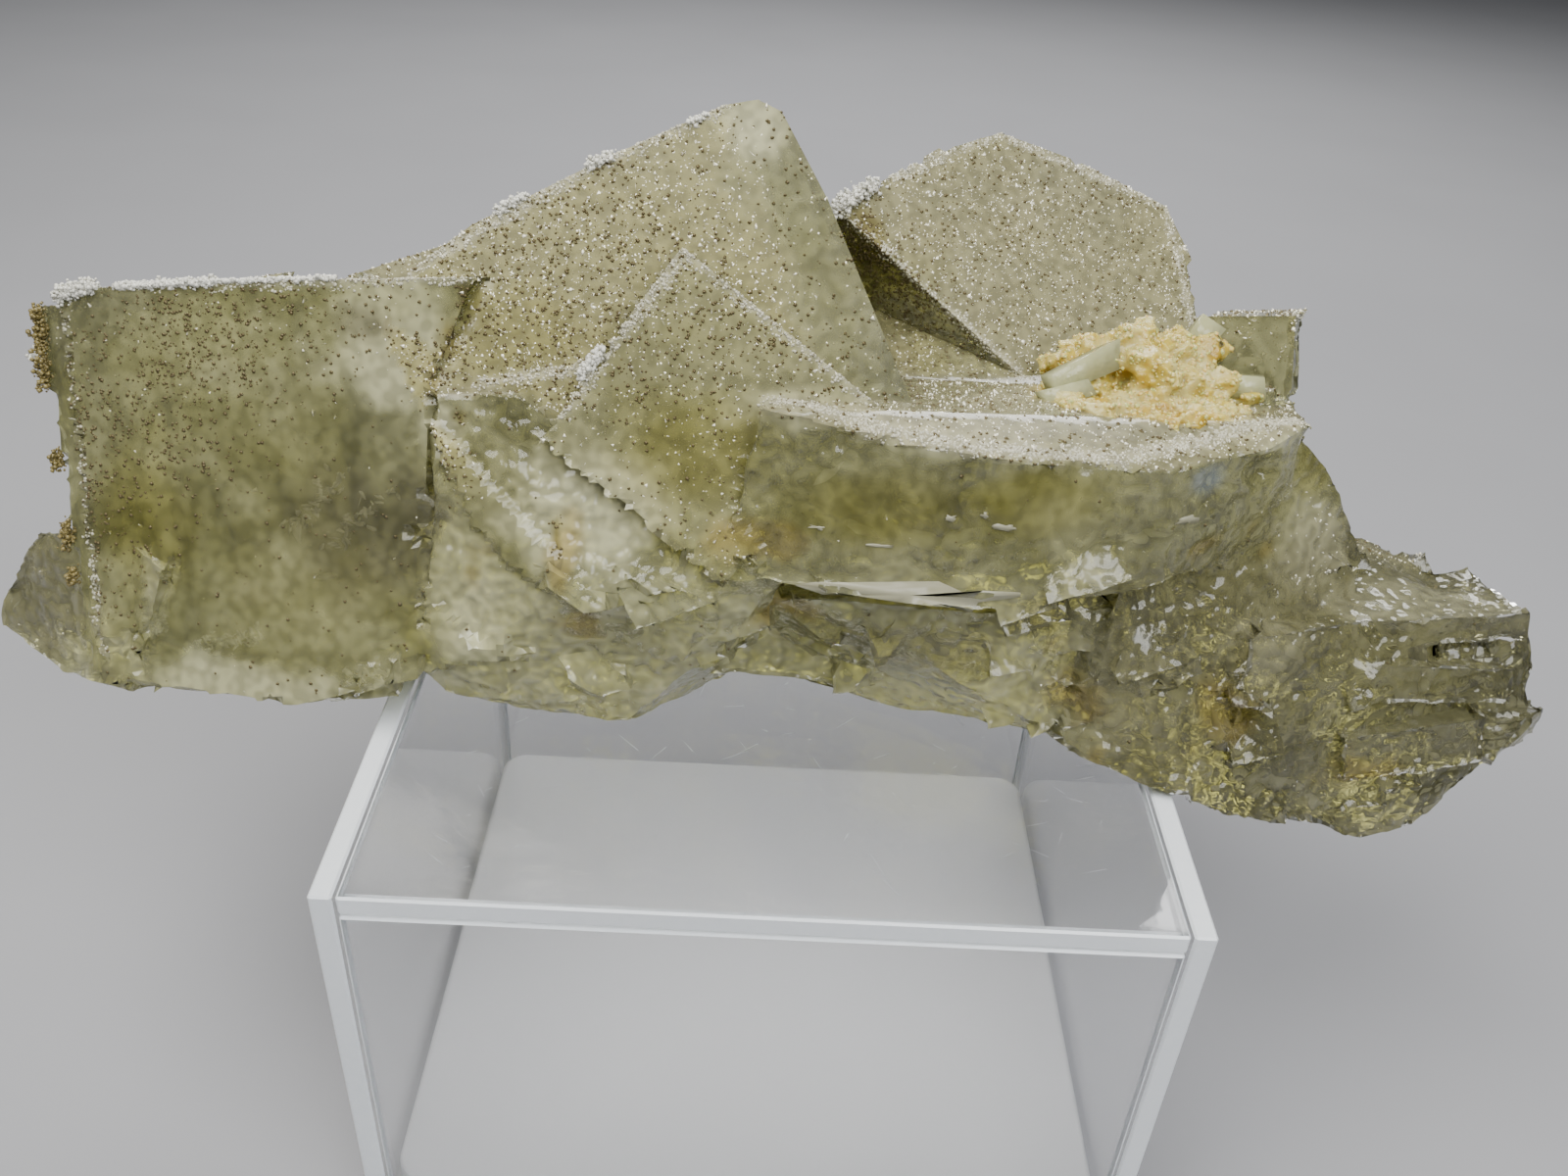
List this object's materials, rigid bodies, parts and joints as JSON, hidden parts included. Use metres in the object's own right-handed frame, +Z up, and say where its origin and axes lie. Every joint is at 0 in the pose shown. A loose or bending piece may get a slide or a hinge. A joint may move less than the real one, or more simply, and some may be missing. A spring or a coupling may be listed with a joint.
{
  "type": "fluorite specimen",
  "caption": "Cluster of pale yellow-green fluorite cubes with a fine sparkling crust and a cleaved base, resting on a clear display riser.",
  "frame": {"origin": "middle of the riser's underside", "axes": "+X along the specimen to the right as seen from the front, +Y away from the front, +Z up"},
  "size_m": [0.1559, 0.0741, 0.1009],
  "materials": {
    "fluorite": "milky translucent yellow-green crystal with a fine sparkling crust",
    "clear_acrylic": "clear polished sheet with saw-cut edges",
    "white_plastic": "smooth moulded white"
  },
  "bodies": {
    "root": {"fluorite_cluster": "fluorite", "riser_top": "clear_acrylic", "riser_front": "clear_acrylic", "riser_back": "clear_acrylic", "riser_left_side": "clear_acrylic", "riser_right_side": "clear_acrylic", "riser_base": "white_plastic"}
  },
  "joints": []
}
